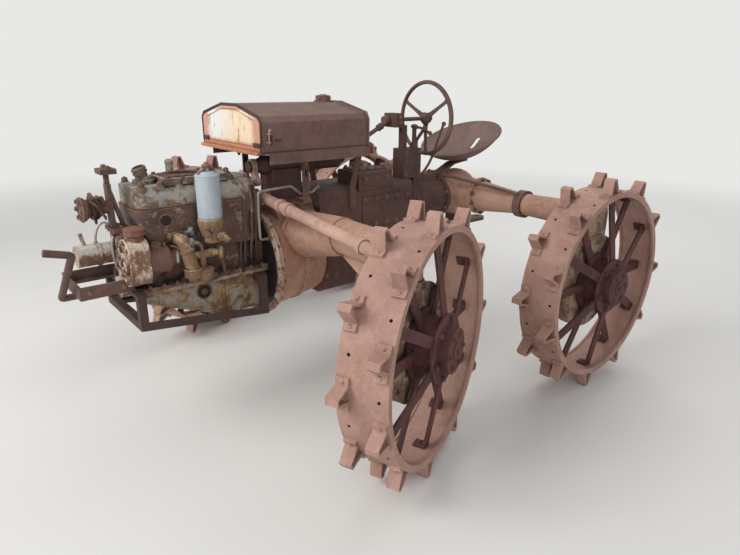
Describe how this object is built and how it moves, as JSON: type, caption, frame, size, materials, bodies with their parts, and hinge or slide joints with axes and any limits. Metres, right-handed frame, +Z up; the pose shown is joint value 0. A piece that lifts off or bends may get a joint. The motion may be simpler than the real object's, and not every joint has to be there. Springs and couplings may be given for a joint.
{
  "type": "vintage four wheel drive row crop tractor",
  "caption": "Rusty old farm tractor on four equal spoked steel wheels with lugs, open engine, long fuel tank, drop axles, steered front wheels, pan seat.",
  "frame": {"origin": "on the ground under the middle of the whole tractor", "axes": "+X to the front, +Y to the tractor's left, +Z up"},
  "size_m": [2.9222, 2.4888, 1.5488],
  "materials": {
    "tread_rust": "pinkish brown rust, worn lighter on the lugs",
    "spoke_rust": "dark brown rust",
    "hub_red": "faded purple red paint under rust",
    "case_cream": "old greyish cream paint with rust stains",
    "engine_cream": "old cream paint, rust and oil streaks",
    "engine_rust": "brown rust, oily",
    "housing_orange": "orange brown rust",
    "housing_dark": "dark brown rust",
    "tank_brown": "dark brown rust with some cream paint at the front",
    "frame_rust": "brown rust",
    "canister_pale": "pale blue grey paint, chalky",
    "pipe_pale": "dull pale metal",
    "linkage_rust": "pinkish rust",
    "seat_rust": "brown pressed steel"
  },
  "bodies": {
    "chassis": {"front_axle": "housing_orange", "rear_axle": "housing_orange", "rear_drop_cases": "case_cream", "bell_housing": "housing_orange", "gearbox": "housing_dark", "engine_block": "engine_cream", "cylinder_head": "engine_cream", "oil_pan": "engine_cream", "gear_cover": "engine_cream", "magneto": "engine_rust", "oil_filler": "engine_rust", "carburettor": "engine_rust", "canister": "canister_pale", "starter": "engine_rust", "fan_hub": "engine_rust", "radiator_bracket": "frame_rust", "front_bracket": "frame_rust", "hand_crank": "frame_rust", "lower_frame": "frame_rust", "fuel_tank": "tank_brown", "tank_rails": "tank_brown", "tank_posts": "frame_rust", "steering_gear": "housing_dark", "steering_shaft": "frame_rust", "control_column": "frame_rust", "seat": "seat_rust", "seat_spring": "frame_rust", "drawbar": "frame_rust", "vent_pipe": "pipe_pale", "brake_rod": "spoke_rust"},
    "wheel_front_left": {"rim_front_left": "tread_rust", "hub_front_left": "hub_red"},
    "wheel_front_right": {"rim_front_right": "tread_rust", "hub_front_right": "hub_red"},
    "wheel_rear_left": {"rim_rear_left": "tread_rust", "hub_rear_left": "hub_red"},
    "wheel_rear_right": {"rim_rear_right": "tread_rust", "hub_rear_right": "hub_red"},
    "left_knuckle": {"knuckle_left": "case_cream"},
    "right_knuckle": {"knuckle_right": "case_cream"},
    "track_rod": {"tie_rod": "linkage_rust"},
    "drop_arm": {"pitman_arm": "linkage_rust"},
    "hand_wheel": {"steering_wheel": "spoke_rust"}
  },
  "joints": [
    {"name": "steer_left", "type": "hinge", "parent": "chassis", "child": "left_knuckle", "pos_m": [0.3533, 0.89, 0.55378], "axis": [0, 0, 1], "range_deg": [-56.5, 13.5]},
    {"name": "steer_right", "type": "hinge", "parent": "chassis", "child": "right_knuckle", "pos_m": [0.3533, -0.89, 0.55378], "axis": [0, 0, 1], "range_deg": [-57, 14]},
    {"name": "rod_swing", "type": "hinge", "parent": "left_knuckle", "child": "track_rod", "pos_m": [0.50682, 0.95047, 0.93678], "axis": [0, 0, 1], "range_deg": [-14, 57]},
    {"name": "arm_swing", "type": "hinge", "parent": "chassis", "child": "drop_arm", "pos_m": [0.50882, 0, 1.15978], "axis": [1, 0, 0], "range_deg": [-71.62, 17.88]},
    {"name": "hand_wheel_turn", "type": "hinge", "parent": "chassis", "child": "hand_wheel", "pos_m": [-0.5757, 0.05, 1.34377], "axis": [-1, 0, 0], "range_deg": [-682, 166]},
    {"name": "spin_front_left", "type": "hinge", "parent": "left_knuckle", "child": "wheel_front_left", "pos_m": [0.3533, 0.89, 0.55378], "axis": [-0.3665, 0.9304, 0], "continuous": true},
    {"name": "spin_front_right", "type": "hinge", "parent": "right_knuckle", "child": "wheel_front_right", "pos_m": [0.3533, -0.89, 0.55378], "axis": [-0.3665, 0.9304, 0], "continuous": true},
    {"name": "spin_rear_left", "type": "hinge", "parent": "chassis", "child": "wheel_rear_left", "pos_m": [-0.9017, 1, 0.55378], "axis": [0, 1, 0], "continuous": true},
    {"name": "spin_rear_right", "type": "hinge", "parent": "chassis", "child": "wheel_rear_right", "pos_m": [-0.9017, -1, 0.55378], "axis": [0, 1, 0], "continuous": true}
  ],
  "couplings": [
    {"joint": "steer_right", "follows": "steer_left", "ratio": 1},
    {"joint": "rod_swing", "follows": "steer_left", "ratio": -1},
    {"joint": "arm_swing", "follows": "steer_left", "ratio": 1.25},
    {"joint": "hand_wheel_turn", "follows": "steer_left", "ratio": 12}
  ]
}
